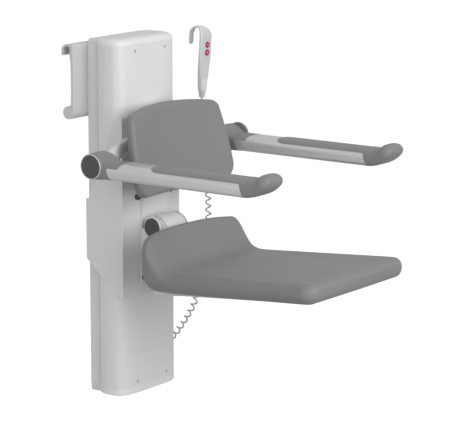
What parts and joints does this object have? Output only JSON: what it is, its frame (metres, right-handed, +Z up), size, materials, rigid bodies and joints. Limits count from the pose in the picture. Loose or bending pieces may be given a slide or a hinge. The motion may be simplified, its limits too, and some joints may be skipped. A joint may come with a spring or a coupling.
{
  "type": "shower seat",
  "caption": "Wall-hung height-adjustable shower seat: motorised column, folding seat and armrests, backrest, rail hanger and a hooked hand control on a curly cord.",
  "frame": {"origin": "centre of the rail hanger's flat back, the face that lies against the wall rail", "axes": "+X to the right of someone who faces the seat, +Y back into the wall, +Z up along the column"},
  "size_m": [0.761, 0.85, 0.965],
  "materials": {
    "white_enamel": "satin powder coat",
    "cap_plastic": "satin moulded",
    "grey_enamel": "satin powder coat",
    "raw_aluminium": "satin anodised",
    "bright_steel": "ground",
    "zinc_steel": "zinc plated",
    "drive_black": "satin black",
    "box_black": "moulded",
    "bush_plastic": "smooth",
    "soft_grey": "fine-grained moulded polyurethane",
    "hub_grey": "fine spark texture",
    "disc_grey": "satin",
    "stop_rubber": "matte",
    "hand_white": "smooth moulded",
    "hand_panel_grey": "satin membrane",
    "button_red": "soft-touch",
    "cord_grey": "smooth polyurethane sheath"
  },
  "bodies": {
    "column": {"back_housing": "grey_enamel", "front_cover": "white_enamel", "top_cap": "cap_plastic", "bottom_cap": "cap_plastic", "cover_screws": "zinc_steel", "top_bulkhead": "raw_aluminium", "bottom_bulkhead": "raw_aluminium", "guide_rods": "bright_steel", "actuator_body": "drive_black", "control_box": "box_black", "rail_hanger": "grey_enamel", "hanger_bolts": "zinc_steel", "cord_gland": "bush_plastic", "hand_shell": "hand_white", "hand_panel": "hand_panel_grey", "strain_relief": "hand_white", "curly_cord": "cord_grey"},
    "carriage": {"carriage_frame": "raw_aluminium", "slide_bushes": "bush_plastic", "actuator_piston": "bright_steel", "piston_nut": "zinc_steel", "carriage_cover": "grey_enamel", "spine_bracket": "white_enamel", "left_arm_horn": "white_enamel", "right_arm_horn": "white_enamel", "left_arm_pin": "bright_steel", "right_arm_pin": "bright_steel", "hinge_pin": "bright_steel", "hinge_caps": "disc_grey", "seat_stop": "stop_rubber", "backrest_mount": "grey_enamel", "backrest_pad": "soft_grey"},
    "seat": {"seat_bracket": "white_enamel", "hinge_bushes": "bush_plastic", "seat_pan": "grey_enamel", "pan_screws": "zinc_steel", "seat_pad": "soft_grey"},
    "left_armrest": {"left_hub_barrel": "raw_aluminium", "left_hub_bushes": "bush_plastic", "left_hub_cover": "hub_grey", "left_hub_disc": "disc_grey", "left_arm_profile": "raw_aluminium", "left_arm_pad": "soft_grey", "left_arm_tip": "soft_grey"},
    "right_armrest": {"right_hub_barrel": "raw_aluminium", "right_hub_bushes": "bush_plastic", "right_hub_cover": "hub_grey", "right_hub_disc": "disc_grey", "right_arm_profile": "raw_aluminium", "right_arm_pad": "soft_grey", "right_arm_tip": "soft_grey"},
    "button_up_key": {"button_up": "button_red"},
    "button_down_key": {"button_down": "button_red"}
  },
  "joints": [
    {"name": "carriage_lift", "type": "slide", "parent": "column", "child": "carriage", "axis": [0, 0, 1], "range_m": [-0.235, 0.155]},
    {"name": "seat_fold", "type": "hinge", "parent": "carriage", "child": "seat", "pos_m": [0, -0.179, -0.389], "axis": [-1, 0, 0], "range_deg": [0, 74]},
    {"name": "left_armrest_fold", "type": "hinge", "parent": "carriage", "child": "left_armrest", "pos_m": [-0.278, -0.191, -0.1845], "axis": [-1, 0, 0], "range_deg": [0, 92]},
    {"name": "right_armrest_fold", "type": "hinge", "parent": "carriage", "child": "right_armrest", "pos_m": [0.278, -0.191, -0.1845], "axis": [-1, 0, 0], "range_deg": [0, 92]},
    {"name": "button_up_press", "type": "slide", "parent": "column", "child": "button_up_key", "axis": [0, 0.9986, 0.0523], "range_m": [0, 0.0012], "stiffness_N_per_m": 400},
    {"name": "button_down_press", "type": "slide", "parent": "column", "child": "button_down_key", "axis": [0, 0.9986, 0.0523], "range_m": [0, 0.0012], "stiffness_N_per_m": 400}
  ]
}
